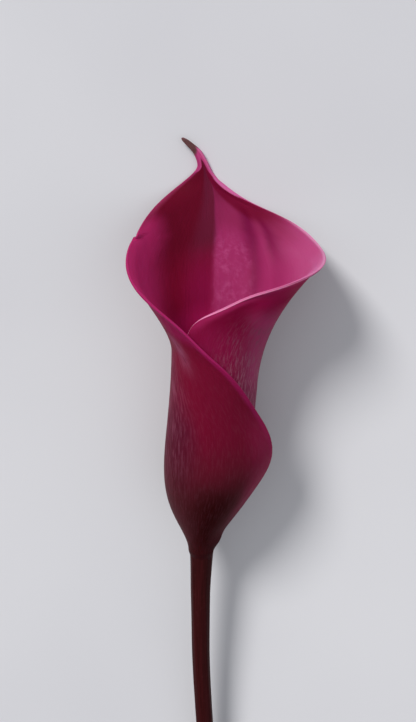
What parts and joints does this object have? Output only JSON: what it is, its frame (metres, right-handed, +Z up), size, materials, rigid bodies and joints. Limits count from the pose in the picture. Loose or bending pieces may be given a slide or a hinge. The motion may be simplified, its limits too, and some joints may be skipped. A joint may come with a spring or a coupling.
{
  "type": "calla lily flower",
  "caption": "Cut magenta calla lily lying on its back: a waxy spathe rolled into a funnel round its spadix, on a short dark stem.",
  "frame": {"origin": "middle of the small flat spot on the back of the spathe, on which the lying flower rests", "axes": "+Z up from the table towards the front of the bloom, +Y from the stem's cut end towards the spathe's tip, +X to the bloom's right seen from above"},
  "size_m": [0.0552, 0.2375, 0.0318],
  "materials": {
    "spathe": "waxy living petal, satin, magenta inside and dark crimson outside, near black at its base",
    "stem": "smooth fleshy stalk, satin, dark maroon brown",
    "spadix": "matt, packed with small florets, golden over a paler foot"
  },
  "bodies": {
    "root": {"spathe": "spathe", "stem": "stem", "spadix": "spadix"}
  },
  "joints": []
}
